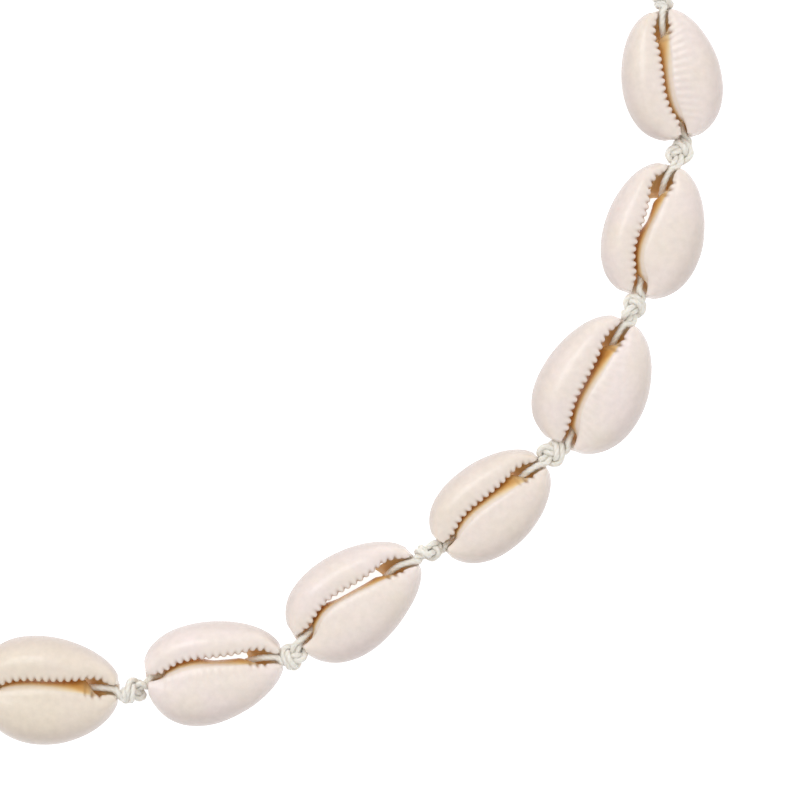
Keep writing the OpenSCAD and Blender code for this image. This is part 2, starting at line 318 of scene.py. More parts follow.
@dataclass(frozen=True)
class GlazedShell(Finish):
    """Bleached cowrie: natural porcelain-like aragonite, glazed by the animal itself.

    It gives the eye a creamy white with a soft sheen and a clear gloss over it, painted shade
    in pinkish grey round the rim, and honey and brown inside the mouth, darkened by painted shade.
    """

    NAME = "Glazed cowrie shell"
    cream: str = "#F5E8DD"
    blush: str = "#F7E9E5"
    ivory: str = "#EBDDC6"
    # painted shade: the pinkish grey that darkens the rim of each shell
    margin: str = "#B3A19B"
    # the notches' brown, deepened by painted shade
    notch: str = "#95653C"
    # the mouth's own honey and brown, darkened with depth by painted shade
    inside: tuple[tuple[float, str], ...] = (
        (0.0, "#F8EAD8"), (0.2, "#F3DDB6"), (0.45, "#ECC282"), (0.7, "#DAA256"),
        (1.0, "#B87A36"))
    cloud_mm: float = 7.0   # size of the soft clouds of colour
    fleck_mm: float = 0.9   # size of the fine mottling

    def shader(self, tree: bpy.types.NodeTree) -> bpy.types.Node:
        """Lays the colours over each other, from the glaze with its painted rim shade to the lining
        of the mouth with its painted shade.

        Args:
            tree: the material's node tree.

        Returns:
            The shader.
        """
        place = add_node(tree, "ShaderNodeTexCoord").outputs["Object"]
        cloud, fleck = [
            add_node(tree, "ShaderNodeTexNoise", {
                "Vector": place, "Scale": 1 / (size * MM), "Detail": detail}).outputs["Fac"]
            for size, detail in ((self.cloud_mm, 3.0), (self.fleck_mm, 4.0))]
        # edge carries the painted rim shade; depth and bite carry the brown of the mouth and of the
        # notches, both deepened by painted shade
        tint, edge, depth, bite = [
            add_node(tree, "ShaderNodeAttribute", attribute_name=name).outputs["Fac"]
            for name in ("tint", "margin", "inside", "notch")]
        spread, mottle, entering = [
            add_node(tree, "ShaderNodeMapRange", {
                "Value": value, "From Min": low, "From Max": high, "To Min": least,
                "To Max": most}).outputs["Result"]
            for value, low, high, least, most in (
                (cloud, 0.35, 0.65, 0.0, 1.0), (fleck, 0.3, 0.7, 0.955, 1.03),
                (depth, 0.02, 0.2, 0.0, 1.0))]
        ramp = add_node(tree, "ShaderNodeValToRGB", {"Fac": depth})
        stops = ramp.color_ramp.elements
        while len(stops) < len(self.inside):
            stops.new(0.5)
        for stop, (position, code) in zip(stops, self.inside):
            stop.position = position
            stop.color = srgb(code)
        colour = srgb(self.cream)
        # edge lays the painted rim shade over the glaze
        for share, over in ((spread, srgb(self.blush)), (tint, srgb(self.ivory)),
                            (edge, srgb(self.margin)), (entering, ramp.outputs["Color"]),
                            (bite, srgb(self.notch))):
            if share is entering:  # what lies under here is the outside, and only that is mottled
                colour = add_node(tree, "ShaderNodeVectorMath", {0: colour, "Scale": mottle},
                                  operation="SCALE").outputs[0]
            colour = add_node(tree, "ShaderNodeMix", {"Factor": share, 6: colour, 7: over},
                              data_type="RGBA").outputs[2]
        bump = add_node(tree, "ShaderNodeBump", {
            "Height": fleck, "Strength": 0.06, "Distance": 0.1 * MM})
        return add_node(tree, "ShaderNodeBsdfPrincipled", {
            "Base Color": colour, "Roughness": 0.4, "IOR": 1.53,
            "Subsurface Weight": 0.12, "Subsurface Radius": (1.0, 0.7, 0.5),
            "Subsurface Scale": 0.9 * MM, "Coat Weight": 0.45, "Coat Roughness": 0.14,
            "Normal": bump.outputs["Normal"]})


@dataclass(frozen=True)
class WaxedCotton(Finish):
    """Waxed cotton cord, three plies twisted together.

    It gives the eye an ivory thread with diagonal plies, with painted shade in the grooves
    between them, and the dull shine of wax on the turns.
    """

    NAME = "Waxed cotton cord"
    thread: str = "#FFFBF2"
    # painted shade: the darker colour in the grooves between the plies
    groove: str = "#E9E0D0"
    fibre_mm: float = 0.25

    def shader(self, tree: bpy.types.NodeTree) -> bpy.types.Node:
        """Paints shade into the grooves between the plies and roughens the thread with fibres.

        Args:
            tree: the material's node tree.

        Returns:
            The shader.
        """
        fibre = add_node(tree, "ShaderNodeTexNoise", {
            "Vector": add_node(tree, "ShaderNodeTexCoord").outputs["Object"],
            "Scale": 1 / (self.fibre_mm * MM), "Detail": 4.0}).outputs["Fac"]
        groove = add_node(tree, "ShaderNodeAttribute", attribute_name="groove").outputs["Fac"]
        shade = add_node(tree, "ShaderNodeMath", {0: groove, 1: fibre}, operation="MULTIPLY")
        colour = add_node(tree, "ShaderNodeMix", {
            "Factor": shade.outputs[0], 6: srgb(self.thread), 7: srgb(self.groove)},
            data_type="RGBA")
        bump = add_node(tree, "ShaderNodeBump", {
            "Height": fibre, "Strength": 0.35, "Distance": 0.08 * MM})
        return add_node(tree, "ShaderNodeBsdfPrincipled", {
            "Base Color": colour.outputs[2], "Roughness": 0.55, "Coat Weight": 0.12,
            "Coat Roughness": 0.35, "Sheen Weight": 0.5, "Subsurface Weight": 0.35,
            "Subsurface Radius": (1.0, 0.85, 0.7), "Subsurface Scale": 0.35 * MM,
            "Normal": bump.outputs["Normal"]})


@dataclass(frozen=True)
class TurnedBrass(Finish):
    """Brass turned on a lathe and polished.

    It gives the eye a warm yellow metal with fine rings round the barrel.
    """

    NAME = "Turned brass"
    colour: str = "#DDBF86"
    worn: str = "#C09C62"
    ring_mm: float = 0.12
    patina_mm: float = 2.5

    def shader(self, tree: bpy.types.NodeTree) -> bpy.types.Node:
        """Dulls the metal in patches and cuts the lathe's rings, which run round X.

        Args:
            tree: the material's node tree.

        Returns:
            The shader.
        """
        place = add_node(tree, "ShaderNodeTexCoord").outputs["Object"]
        along = add_node(tree, "ShaderNodeMapping", {"Vector": place, "Scale": (1.0, 0.05, 0.05)})
        rings, patina = [
            add_node(tree, "ShaderNodeTexNoise", {
                "Vector": where, "Scale": 1 / (size * MM), "Detail": detail}).outputs["Fac"]
            for where, size, detail in ((along.outputs["Vector"], self.ring_mm, 2.0),
                                        (place, self.patina_mm, 3.0))]
        colour = add_node(tree, "ShaderNodeMix", {
            "Factor": patina, 6: srgb(self.colour), 7: srgb(self.worn)}, data_type="RGBA")
        bump = add_node(tree, "ShaderNodeBump", {
            "Height": rings, "Strength": 0.25, "Distance": 0.02 * MM})
        return add_node(tree, "ShaderNodeBsdfPrincipled", {
            "Base Color": colour.outputs[2], "Metallic": 1.0, "Roughness": 0.24,
            "Normal": bump.outputs["Normal"]})


@dataclass(frozen=True)
class WhiteSweep(Finish):
    """Matt white paper under the necklace. It gives the eye a plain, nearly shadowless ground."""

    NAME = "White paper sweep"
    colour: str = "#A8A8A8"
    light: str = "#FFFFFF"
    glow: float = 0.9

    def shader(self, tree: bpy.types.NodeTree) -> bpy.types.Node:
        """Lets the paper glow a little, as in an overexposed picture.

        Args:
            tree: the material's node tree.

        Returns:
            The shader.
        """
        return add_node(tree, "ShaderNodeBsdfPrincipled", {
            "Base Color": srgb(self.colour), "Roughness": 0.9,
            "Emission Color": srgb(self.light), "Emission Strength": self.glow})


# The shells

class Lip(Enum):
    """The two lips of a cowrie's mouth, by the side of the shell's own frame they lie on."""

    INNER = 1    # the smooth wide lobe
    OUTER = -1   # the toothed side


@dataclass(frozen=True)
class ShellShape:
    """The sizes of one cowrie, as the CAD source has them, and three of its looks."""

    length: float
    outer: float        # half width on the outer lip's side
    inner: float
    outer_egg: float    # how much that side narrows towards the front
    inner_egg: float
    bow: float          # how far the mouth bows towards the outer lip
    front_gape: float   # width of the mouth where it is widest
    mid_gape: float
    front_end: float    # widths of the channels at the two ends
    back_end: float
    back_floor: float   # height of the floor of the channel at the blunt end
    reach: float        # share of the mouth that the inner lip's curl covers
    narrow: float       # where, towards the back, the curl starts to be narrow
    ridges: float       # how clear the fan of ridges on the inner lobe is
    ivory: float        # how yellow the glaze is
    brown_and_shade: float        # how brown the inner lip's curl is, deepened towards its foot by painted shade


HIGH_FLOOR = 2.3  # height of the channel's floor where the cord shows
LOW_FLOOR = 0.8
SHAPES = (
    ShellShape(17.3, 6.8, 6.2, 0.11, 0.13, 1.0, 2.10, 1.40, 1.35, 1.15, LOW_FLOOR, 1.20, 0,
               ridges=1.4, ivory=0.15, brown_and_shade=0.6),
    ShellShape(17.9, 6.6, 6.5, 0.10, 0.13, 1.5, 2.60, 1.40, 1.30, 1.70, HIGH_FLOOR, 0.82, 0,
               ridges=0.15, ivory=0.15, brown_and_shade=0.95),
    ShellShape(18.6, 7.2, 7.0, 0.17, 0.11, 1.0, 2.25, 1.40, 1.50, 1.55, HIGH_FLOOR, 1.20, 0,
               ridges=0.5, ivory=0.1, brown_and_shade=0.95),
    ShellShape(17.5, 6.0, 6.0, 0.13, 0.10, 1.0, 2.25, 1.30, 1.45, 1.15, LOW_FLOOR, 1.20, 0,
               ridges=0.1, ivory=0.3, brown_and_shade=0.75),
    ShellShape(19.1, 6.8, 6.3, 0.13, 0.21, 1.7, 2.30, 1.30, 1.40, 1.40, HIGH_FLOOR, 0.76, -0.3,
               ridges=0.1, ivory=0.1, brown_and_shade=1.1),
    ShellShape(18.4, 6.1, 7.1, 0.09, 0.23, 1.1, 2.15, 1.30, 1.30, 1.15, LOW_FLOOR, 0.80, -0.1,
               ridges=0.9, ivory=0.0, brown_and_shade=0.8),
    ShellShape(18.2, 6.7, 7.3, 0.19, 0.10, 0.7, 2.40, 1.30, 1.25, 1.15, LOW_FLOOR, 1.20, 0,
               ridges=0.2, ivory=0.6, brown_and_shade=0.8),
)


@dataclass(frozen=True)
class Place:
    """Where a shell lies."""

    angle: float        # round the loop, in degrees
    out: float = 0.0    # outside the loop's circle
    turn: float = 0.0   # from the loop's tangent, in degrees

    @property
    def heading(self) -> float:
        """The direction of the shell's front end, in degrees."""
        return self.angle + 90 + self.turn


@dataclass(frozen=True)
class Loop:
    """The circle of shells: which shape each has and where it lies."""

    radius: float = 79.0
    shell_gap: float = 3.2
    shells: int = 21
    first_seen: int = 5   # the first shell that the photograph shows
    places: tuple[Place, ...] = (
        Place(0.9, 0.8, 9.0), Place(-13.9, 0.8, -1.3), Place(-29.3, 1.0, 3.3),
        Place(-44.3, -0.4, -5.3), Place(-60.2, -1.4, 5.0), Place(-75.3, -0.3, -6.2),
        Place(-91.0, -0.2, 0.0))

    def shape(self, n: int) -> ShellShape:
        """Returns the shape of shell n, which outside the photograph is one of the others'."""
        seen = n - self.first_seen
        return SHAPES[seen if 0 <= seen < len(self.places) else (3 * n + 1) % len(SHAPES)]

    def place(self, n: int) -> Place:
        """Finds where shell n lies: as photographed, or evenly spaced on from there.

        Args:
            n: the shell's number.

        Returns:
            Its place.
        """
        seen = n - self.first_seen
        if 0 <= seen < len(self.places):
            return self.places[seen]
        side = 1 if seen < 0 else -1
        step = (self.shape(n).length + self.shape(n + side).length) / 2 + self.shell_gap
        return Place(self.place(n + side).angle + side * math.degrees(step / self.radius))

    @property
    def clasp_angle(self) -> float:
        """The clasp's angle, midway between the first shell and the last."""
        return (self.place(1).angle + self.place(self.shells).angle + 360) / 2

    @property
    def centre(self) -> np.ndarray:
        """Finds where the circle's centre lies from the clasp's place in the frame.

        Returns:
            Its x, y.
        """
        low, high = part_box("clasp")
        clasp = (np.array(low[:2]) + np.array(high[:2])) / 2 / MM
        return clasp - self.radius * direction(self.clasp_angle)

    def point(self, angle: float, out: float = 0.0) -> np.ndarray:
        """Returns the point at that angle round the loop, a distance out of its circle."""
        return self.centre + (self.radius + out) * direction(angle)

    def placed(self, n: int, points: np.ndarray) -> np.ndarray:
        """Moves points from shell n's own frame to their place.

        Args:
            n: the shell's number.
            points: rows of x, y, z, where y runs to the front end and x to the inner lip.

        Returns:
            The same points in the object's frame.
        """
        place = self.place(n)
        ahead = direction(place.heading)
        flat = (self.point(place.angle, place.out) + points[:, :1] * right_of(ahead)
                + points[:, 1:2] * ahead)
        return np.concatenate([flat, points[:, 2:3]], axis=1)


class LipTeeth(ModifierTree):
    """The Geometry Nodes tree that raises teeth, ridges and gentle waves on a shell."""

    NAME = "lip teeth"
    MATERIAL = "Shell"
    SIZES = ("Tooth Pitch", "Tooth Depth", "Ridge Height", "Wave Height", "Wave Size", "Seed")
    SUMS = (
        # cut is 1 in the notches between the teeth, and the surface rises and falls with it
        ("phase", "DIVIDE", "along_lip", "Tooth Pitch"), ("phase", "MULTIPLY", "phase", math.pi),
        ("cut", "COSINE", "phase"), ("cut", "ABSOLUTE", "cut"), ("cut", "POWER", "cut", 4.0),
        ("depth", "MULTIPLY", "tooth_weight", "Tooth Depth"),
        ("tooth", "MULTIPLY_ADD", "cut", -2.0, 1.0), ("tooth", "MULTIPLY", "tooth", "depth"),
        # the ridges run on from the teeth, and the waves are slow noise round nothing
        ("crest", "MULTIPLY", "Ridge Height", -1.0),
        ("crest", "MULTIPLY", "ridge_weight", "crest"),
        ("ridge", "MULTIPLY", "phase", 2.0), ("ridge", "COSINE", "ridge"),
        ("ridge", "MULTIPLY", "ridge", "crest"),
        ("swell", "MULTIPLY", "free", "Wave Height"), ("wave", "SUBTRACT", "wave", 0.5),
        ("wave", "MULTIPLY", "wave", "swell"),
        ("height", "ADD", "tooth", "ridge"), ("height", "ADD", "height", "wave"),
        # the notches are brown, deepened by painted shade
        ("brown_and_shade", "MULTIPLY", "tooth_weight", 0.8), ("brown_and_shade", "MULTIPLY", "cut", "brown_and_shade"))

    def form(self, known: dict[str, bpy.types.NodeSocket]) -> bpy.types.NodeSocket:
        """Raises the surface by what its points carry and notes the notches between the teeth.

        Args:
            known: the tree's inputs by name.

        Returns:
            The raised shell.
        """
        tree = self.tree
        for name in ("tooth_weight", "ridge_weight", "along_lip", "free"):
            known[name] = add_node(tree, "GeometryNodeInputNamedAttribute", {"Name": name},
                                   data_type="FLOAT").outputs["Attribute"]
        scale = add_node(tree, "ShaderNodeMath", {0: 1.0, 1: known["Wave Size"]},
                         operation="DIVIDE")
        known["wave"] = add_node(tree, "ShaderNodeTexNoise", {
            "Vector": add_node(tree, "GeometryNodeInputPosition").outputs[0],
            "W": known["Seed"], "Scale": scale.outputs[0], "Detail": 1.0},
            noise_dimensions="4D").outputs["Fac"]
        self.work_out(known)
        raised = add_node(tree, "ShaderNodeVectorMath", {
            0: add_node(tree, "GeometryNodeInputNormal").outputs[0],
            "Scale": known["height"]}, operation="SCALE")
        moved = add_node(tree, "GeometryNodeSetPosition", {
            "Geometry": known["Geometry"], "Offset": raised.outputs[0]})
        return add_node(tree, "GeometryNodeStoreNamedAttribute", {
            "Geometry": moved.outputs[0], "Name": "notch", "Value": known["brown_and_shade"]},
            data_type="FLOAT", domain="POINT").outputs[0]


@dataclass
class CowrieShell:
    """One cowrie with its back cut off: a closed ring of shell round the mouth."""

    number: int
    loop: Loop
    wall: float = 1.3
    cut_share: float = 0.45
    mouth_reach: float = 0.93     # the lips' ends, as a share of half the length
    low_slit: float = 0.62        # how far open the lips are over a low channel, as a share
    first_angle: float = 15.0     # where the outline leaves the channel
    end_drop: float = 0.2         # how much lower the two ends are than the middle
    rim_round: float = 0.7        # how much of the rim's narrowing its two ends have
    crest_fill: float = 0.5       # how much fuller the crest is where the inner lip curls
    fill_from: float = 0.8        # and from what share of the way to its edge
    plain_foot: float = 1.6       # how far under the crest the curl's foot is at the ends
    curl_level: float = 3.3       # height of the foot of the inner lip's curl
    edge_shade: float = 0.1       # how dark the curl's edge is
    brown_and_shade_width: float = 0.8      # share of the mouth over which the curl turns brown and dark with painted shade
    lip_shade: float = 0.12       # how dark it is just under a plain lip
    row_shade: float = 0.14       # and how much darker with each row further down
    lining_and_shade: float = 0.8           # how brown, and how dark with painted shade, it is inside
    tooth_pitch: float = 0.95
    tooth_depth: float = 0.14
    ridge_height: float = 0.02
    ridge_length: float = 3.4
    wave_height: float = 0.16
    wave_size: float = 5.0
    wave_from: float = 0.3        # the waves fade in from this height
    wave_full: float = 1.5        # and are full from here
    wall_stations: int = 130      # sections along each lip
    channel_stations: int = 9     # sections from each lip's end to the channel's floor
    floor_stations: int = 10      # and across that floor
    inner_floor: float = 0.55     # how far the front floor reaches under the inner lip
    outer_floor: float = 1.3      # and under the outer one
    mouth_arch: float = 0.5       # how far the floor in front is hollowed towards the opening
    floor_dip: float = 0.12       # how far the cord has worn the floors down

    # From the cut rim up to the margin: [share of the outline, share of the shell's height]
    RISE = ((0.928, 0.0), (0.934, 0.008), (0.972, 0.16), (1.0, 0.42))
    # From the margin to the lip's edge: [share of the way, share of the crest's height]
    CROWN = ((0.05, 0.62), (0.15, 0.79), (0.30, 0.915), (0.46, 0.98), (0.62, 1.0), (0.79, 0.993),
             (0.91, 0.972), (0.975, 0.942), (1.0, 0.902))
    # Under a plain lip: [how far back from its edge, how far down from the crest, how much of
    # the teeth it carries]
    UNDER = ((0.04, 0.85, 1), (0.12, 1.15, 0.75), (0.28, 1.45, 0.35), (0.6, 1.7, 0),
             (1.0, 1.85, 0))
    # Down the inner lip's curl: [share of its width, share of its drop]
    CURL = ((0.22, 0.13), (0.5, 0.38), (0.78, 0.74), (1.0, 1.08), (0.8, 1.22))
    # The inside: [share of the outline's width, of its length, share of the crest's height]
    CAVITY = ((0.0, 0.85, 0.58), (-0.02, 0.77, 0.3), (-0.045, 0.625, 0.01), (-0.05, 0.62, 0.0))
    # The same rows in a channel: [share of half the length, share of the floor's height,
    # how much wider than the channel]
    SILL = ((0.95, 0.0, 0), (0.955, 0.01, 0), (0.975, 0.25, 0), (0.985, 0.5, 0),
            (0.985, 0.66, 0), (0.982, 0.8, 0), (0.974, 0.9, 0), (0.962, 0.96, 0))
    FRONT_FLOOR = SILL + (
        (0.94, 1.0, 0), (0.91, 1.0, 0), (0.87, 1.0, 0.1), (0.84, 0.98, 0.25), (0.81, 0.95, 0.4),
        (0.78, 0.92, 0.6), (0.75, 0.88, 0.75), (0.72, 0.83, 0.9), (0.69, 0.78, 0.95),
        (0.65, 0.7, 1.0), (0.59, 0.56, 1.0), (0.52, 0.38, 1.0), (0.44, 0.02, 1.0),
        (0.435, 0.0, 1.0))
    BACK_FLOOR = SILL + (
        (0.945, 1.0, 0), (0.925, 1.0, 0), (0.905, 1.0, 0), (0.895, 0.98, 0), (0.885, 0.95, 0),
        (0.875, 0.88, 0), (0.868, 0.8, 0), (0.86, 0.72, 0), (0.85, 0.62, 0), (0.84, 0.55, 0),
        (0.83, 0.5, 0), (0.75, 0.3, 0), (0.605, 0.01, 0), (0.6, 0.0, 0))
    # How much of the hollow in front each of those rows has
    ARCHED = np.clip(np.array(FRONT_FLOOR)[:, 2] * 2.5 - 1.5, 0, 1)
    # How many pieces the intervals between the rows are cut into
    PIECES = (1, 2, 3, 3, 3, 3, 3, 3, 4, 4, 3, 2, 2, 2, 2, 2, 2, 2, 2, 2, 1)
    # Along the mouth, from t = -1 at the back to 1 in front: its bow, where the brown and its
    # painted shade start across it, how much of its colours show, and the teeth in front on the
    # inner lip
    BOW = ((-1, 0), (-0.93, 0), (-0.75, 0.1), (-0.6, 0.48), (-0.45, 0.84), (-0.25, 1), (0, 0.9),
           (0.3, 0.72), (0.5, 0.68), (0.75, 0.45), (0.93, 0.05), (1, 0))
    BROWN_AND_SHADE_START = ((-0.7, 0.25), (-0.3, 0.16), (0.05, 0.12), (0.3, -0.05), (0.55, -0.6))
    COLOURED = ((-0.92, 0.4), (-0.75, 1), (0.3, 1), (0.6, 0.5), (0.9, 0.2))
    INNER_TEETH = ((0.45, 0.02), (0.58, 0.75), (0.76, 0.75), (0.84, 0))
    # How much painted rim shade a row has, by its share in RISE, up to the margin, and in CROWN
    # above it
    RIM_SHADE_UP = ((0, 1), (0.42, 0.75))
    RIM_SHADE_OVER = ((0, 0.6), (0.3, 0.1), (0.5, 0))
    # How much of the teeth is left at a distance from the lip's edge
    TOOTH_FADE = ((0, 1), (0.3, 0.45), (0.75, 0))
    # How dark a channel's floor is: [share of half the length, darkness]
    FLOOR_SHADE = ((0.5, 0.42), (0.72, 0.4), (0.84, 0.22), (0.91, 0.08), (0.985, 0.02))

    @property
    def name(self) -> str:
        """The CAD node's name."""
        return f"shell_{self.number:02d}"

    @property
    def shape(self) -> ShellShape:
        """The sizes of this shell."""
        return self.loop.shape(self.number)

    @property
    def height(self) -> float:
        """Height left under the mouth after the back is cut off."""
        return self.cut_share * (self.shape.outer + self.shape.inner)

    def mouth_mid(self, t: Number) -> Number:
        """Returns where the mouth's middle lies at t, from -1 at the back to 1 at the front."""
        return -self.shape.bow * smooth_lookup(t, self.BOW)

    def mouth_gape(self, t: np.ndarray) -> np.ndarray:
        """Works out how wide the mouth is.

        Args:
            t: places along it, from -1 at the back to 1 at the front.

        Returns:
            Its width there.
        """
        s = self.shape
        slit = s.back_end * (self.low_slit if s.back_floor == LOW_FLOOR else 1)
        middle, front = 0.85 * s.mid_gape, 0.73 * s.front_gape
        return smooth_lookup(t, (
            (-0.92, 1.1 * slit), (-0.76, slit), (-0.5, 0.82 * s.mid_gape), (0, middle),
            (0.25, mix(middle, front, 0.45)), (0.45, front), (0.6, 0.96 * s.front_gape),
            (0.74, 0.88 * s.front_gape), (0.87, s.front_end)))

    def curl_reach(self, t: np.ndarray) -> np.ndarray:
        """Works out how much of the mouth the inner lip's curl covers.

        Args:
            t: places along the mouth, from -1 at the back to 1 at the front.

        Returns:
            The share of its width there.
        """
        s = self.shape
        return smooth_lookup(t, (
            (-0.93, 0), (-0.8, 0.35), (-0.62, 1.1), (s.narrow - 0.25, 1.15),
            (s.narrow + 0.15, s.reach), (0.36, s.reach), (0.5, 0.8 * s.reach), (0.72, 0.3),
            (0.88, 0)))

    def outline(self, lip: Lip, u: np.ndarray) -> np.ndarray:
        """Works out the margin beside a lip.

        Args:
            lip: which lip.
            u: places along it, from 0 in front to 1 at the back.

        Returns:
            The margin's points x, y there.
        """
        s = self.shape
        angle = np.radians(mix(self.first_angle, 180 - self.first_angle, u))
        inner = lip is Lip.INNER
        half, egg, blunt = (s.inner, s.inner_egg, 0.95) if inner else (s.outer, s.outer_egg, 0.8)
        return np.stack([lip.value * half * np.sin(angle) ** blunt * (1 - egg * np.cos(angle)),
                         s.length / 2 * np.cos(angle)], axis=1)

    def crest(self, level: float, curled: np.ndarray) -> np.ndarray:
        """Returns a row's share of the crest's height, fuller where the inner lip curls."""
        return mix(level, mix(level, 1, self.crest_fill), curled)

    def wall_rows(self, lip: Lip, u: np.ndarray) -> np.ndarray:
        """Works out the sections through a lip.

        Args:
            lip: which lip.
            u: places along it, from 0 in front to 1 at the back.

        Returns:
            stations x rows x 8: the point, its brown and painted shade inside, the weights of the
            teeth and the ridges, its painted rim shade, and the distance along the lip.
        """
        s, side, inner = self.shape, lip.value, lip is Lip.INNER
        t = self.mouth_reach * (1 - 2 * u)
        rim = self.outline(lip, u)
        gape = self.mouth_gape(t)
        edge = np.stack([self.mouth_mid(t) + side * gape / 2, s.length / 2 * t], axis=1)
        top = self.height * (1 - self.end_drop * t * t)
        thin = 1 - self.wall / (s.inner if inner else s.outer)
        reach = self.curl_reach(t) if inner else np.zeros_like(t)
        curled = np.minimum(1, reach)
        toothed = smooth_lookup(np.abs(t), ((0.72, 1), (self.mouth_reach - 0.02, 0)))
        if inner:
            toothed = toothed * smooth_lookup(t, self.INNER_TEETH)
        fan = smooth_lookup(np.abs(t), ((0.55, 1), (0.85, 0))) * inner
        width, along = np.linalg.norm(edge - rim, axis=1), distances(edge)
        rows = []

        def add(x: Number, y: Number, z: Number, inside: Number, tooth: Number, margin: Number,
                ridge: Number = 0.0) -> None:
            """Adds one row of points with what belongs to them."""
            rows.append(np.stack(np.broadcast_arrays(
                x, y, z, inside, tooth * toothed, ridge * fan, margin, along), axis=1))

        # up the rim and over the crown, the rows carry painted rim shade
        for share, level in self.RISE:
            add(share * rim[:, 0], mix(1, share, self.rim_round) * rim[:, 1],
                level * self.height, 0, 0, smooth_lookup(level, self.RIM_SHADE_UP))
        for share, level in self.CROWN:
            p = mix(rim, edge, share)
            back = (1 - share) * width
            ridge = smooth_lookup(back, ((0, 0.3), (0.6, 1), (0.5 * self.ridge_length, 1),
                                         (self.ridge_length, 0)))
            add(p[:, 0], p[:, 1], self.crest(level, curled * (share > self.fill_from)) * top,
                self.edge_shade * curled * (share == 1), smooth_lookup(back, self.TOOTH_FADE),
                smooth_lookup(share, self.RIM_SHADE_OVER), ridge)
        foot = mix(top - self.plain_foot, self.curl_level, curled)
        lip_z = self.crest(self.CROWN[-1][1], curled) * top
        start, coloured = smooth_lookup(t, self.BROWN_AND_SHADE_START), smooth_lookup(t, self.COLOURED)
        for i, ((back, drop, tooth), (across, down)) in enumerate(zip(self.UNDER, self.CURL)):
            x = mix(edge[:, 0] + side * back, edge[:, 0] - side * across * reach * gape, curled)
            z = mix(top - drop, mix(lip_z, foot, down), curled)
            # the curl turns brown towards its foot: its own colour, deepened by painted shade
            brown = np.clip((across * reach - start) / self.brown_and_shade_width, 0, 1) * s.brown_and_shade
            add(x, edge[:, 1], z,
                mix(self.lip_shade + self.row_shade * i, brown, curled) * coloured, tooth, 0)
        # the hollow inside takes the lining's brown with painted shade
        for less, long, level in self.CAVITY:
            add((thin + less) * rim[:, 0], long * rim[:, 1], level * top,
                self.lining_and_shade * coloured, 0, 0)
        return np.stack(rows, axis=1)

    def channel_rows(self, lip: Lip, end: int, wall: np.ndarray) -> np.ndarray:
        """Works out the rows at one side of a channel's floor.

        Args:
            lip: the lip on that side.
            end: 1 for the channel in front, -1 for the one at the back.
            wall: the rows at that lip's end, whose other values the channel takes.

        Returns:
            rows x 8, as the walls have them.
        """
        s = self.shape
        floor, gap, table = ((HIGH_FLOOR, s.front_end, self.FRONT_FLOOR) if end > 0
                             else (s.back_floor, s.back_end, self.BACK_FLOOR))
        ahead, level, wider = np.array(table).T
        rows = wall.copy()
        rows[:, 0] = lip.value * (gap / 2 + wider * (self.inner_floor if lip is Lip.INNER
                                                     else self.outer_floor))
        rows[:, 1] = end * ahead * s.length / 2
        rows[:, 2] = level * floor
        rows[:, 3] = smooth_lookup(ahead, self.FLOOR_SHADE)
        rows[:, 4:6] = 0
        return rows

    def channel(self, end: int, start: np.ndarray, stop: np.ndarray, first: Lip) -> np.ndarray:
        """Works out the sections from one lip's end over the channel to the other lip's.

        Args:
            end: 1 for the channel in front, -1 for the one at the back.
            start: rows of the lip that the channel starts from.
            stop: rows of the lip that it ends at.
            first: the lip that it starts from.

        Returns:
            stations x rows x 8.
        """
        near = self.channel_rows(first, end, start)
        far = self.channel_rows(Lip(-first.value), end, stop)
        floor = []
        for w in (np.arange(self.floor_stations) + 0.5) / self.floor_stations:
            across, sag = mix(near, far, w), math.sin(math.pi * w)
            if end > 0:
                across[:, 1] += self.mouth_arch * sag * self.ARCHED
            across[:, 2] -= self.floor_dip * sag * (across[:, 2] > self.wave_from)
            floor.append(across)
        share = (np.arange(self.channel_stations) + 1) / (self.channel_stations + 1)
        return np.array([self.slope(start, near, w) for w in share] + floor
                        + [self.slope(stop, far, w) for w in share[::-1]])

    @staticmethod
    def slope(wall: np.ndarray, floor: np.ndarray, w: float) -> np.ndarray:
        """Rounds a lip's end over and down to the channel's floor.

        Args:
            wall: the rows at the lip's end.
            floor: the rows beside the channel's floor.
            w: how far between them, from 0 to 1.

        Returns:
            The rows there.
        """
        rows = mix(wall, floor, w)
        rows[:, 0] = mix(wall[:, 0], floor[:, 0], math.sin(math.pi / 2 * w))
        rows[:, 1] = mix(wall[:, 1], floor[:, 1], w * w * (3 - 2 * w))
        rows[:, 2] = mix(wall[:, 2], floor[:, 2], 1 - math.cos(math.pi / 2 * w))
        rows[:, 4:6] = wall[:, 4:6] * (1 - w)
        return rows

    def build(self, teeth: LipTeeth, glaze: bpy.types.Material) -> bpy.types.Object:
        """Builds the shell and lets it stand for its CAD node.

        Args:
            teeth: the tree that raises the teeth.
            glaze: the shell's material.

        Returns:
            The finished piece.
        """
        u = np.linspace(0, 1, self.wall_stations)
        inner, outer = self.wall_rows(Lip.INNER, u), self.wall_rows(Lip.OUTER, u)
        stations = np.concatenate([
            inner, self.channel(-1, inner[-1], outer[-1], Lip.INNER),
            outer[::-1], self.channel(1, outer[0], inner[0], Lip.OUTER)])
        rows = smooth_rows(stations, self.PIECES)
        rows[:, :, 2] = np.maximum(rows[:, :, 2], 0)
        flat = rows.reshape(-1, rows.shape[2])
        here = np.arange(len(flat)).reshape(rows.shape[:2]).T
        ahead = np.roll(here, -1, axis=1)
        faces = np.stack([here, np.roll(here, -1, axis=0), np.roll(ahead, -1, axis=0), ahead],
                         axis=2).reshape(-1, 4)
        high = flat[:, 2]
